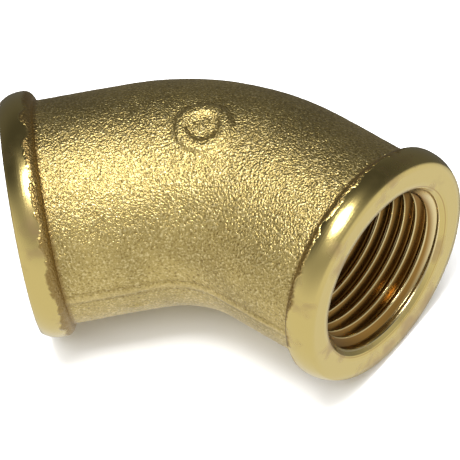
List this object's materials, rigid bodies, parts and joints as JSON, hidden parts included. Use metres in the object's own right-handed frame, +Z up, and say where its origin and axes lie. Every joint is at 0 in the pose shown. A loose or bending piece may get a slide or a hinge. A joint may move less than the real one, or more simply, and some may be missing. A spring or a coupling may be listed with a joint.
{
  "type": "45 degree threaded pipe elbow",
  "caption": "Cast brass 45 degree pipe elbow with a beaded female parallel thread at each end.",
  "frame": {"origin": "the middle of the fitting's box, at the level of the surface it lies on, with the plane of the bend level", "axes": "+X from one mouth towards the other, +Y towards the outer, convex side of the bend, +Z up, square to the plane of the bend"},
  "size_m": [0.0442, 0.0268, 0.0234],
  "materials": {
    "cast_brass": "shot-blasted casting with turned beads, end faces and threads"
  },
  "bodies": {
    "root": {"elbow_body": "cast_brass"}
  },
  "joints": []
}
